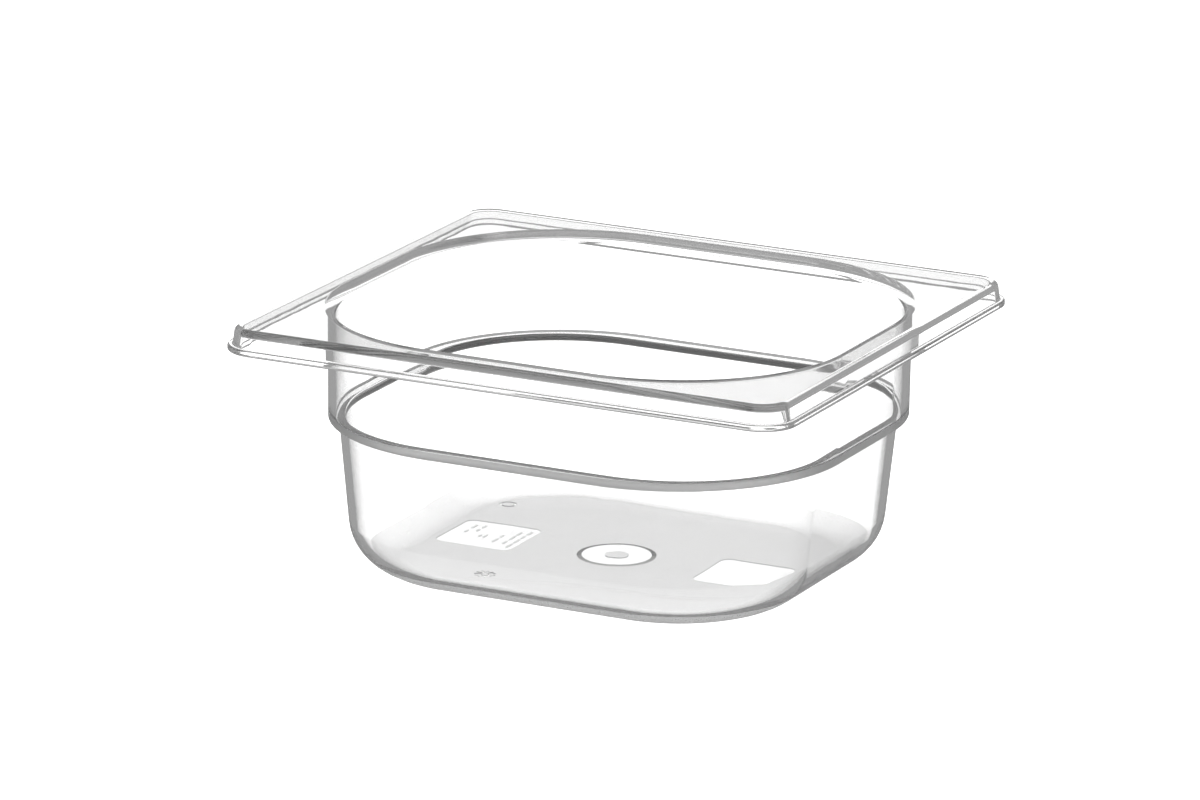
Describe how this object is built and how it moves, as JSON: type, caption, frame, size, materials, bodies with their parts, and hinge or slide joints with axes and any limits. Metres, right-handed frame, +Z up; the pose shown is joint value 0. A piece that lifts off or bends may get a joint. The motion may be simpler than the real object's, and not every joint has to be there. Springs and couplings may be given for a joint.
{
  "type": "deli food pan",
  "caption": "Clear moulded food pan with a flat flanged rim, a stacking shoulder, tapered rounded lower body and a frosted base with polished windows.",
  "frame": {"origin": "centre of the base, on the surface that the pan stands on", "axes": "+X along the 176 mm side of the rim, +Y along the 162 mm side, +Z up out of the mouth"},
  "size_m": [0.176, 0.162, 0.0768],
  "materials": {
    "clear_polycarbonate": "clear polished polycarbonate, with a fine frosted texture on the base"
  },
  "bodies": {
    "root": {"pan": "clear_polycarbonate"}
  },
  "joints": []
}
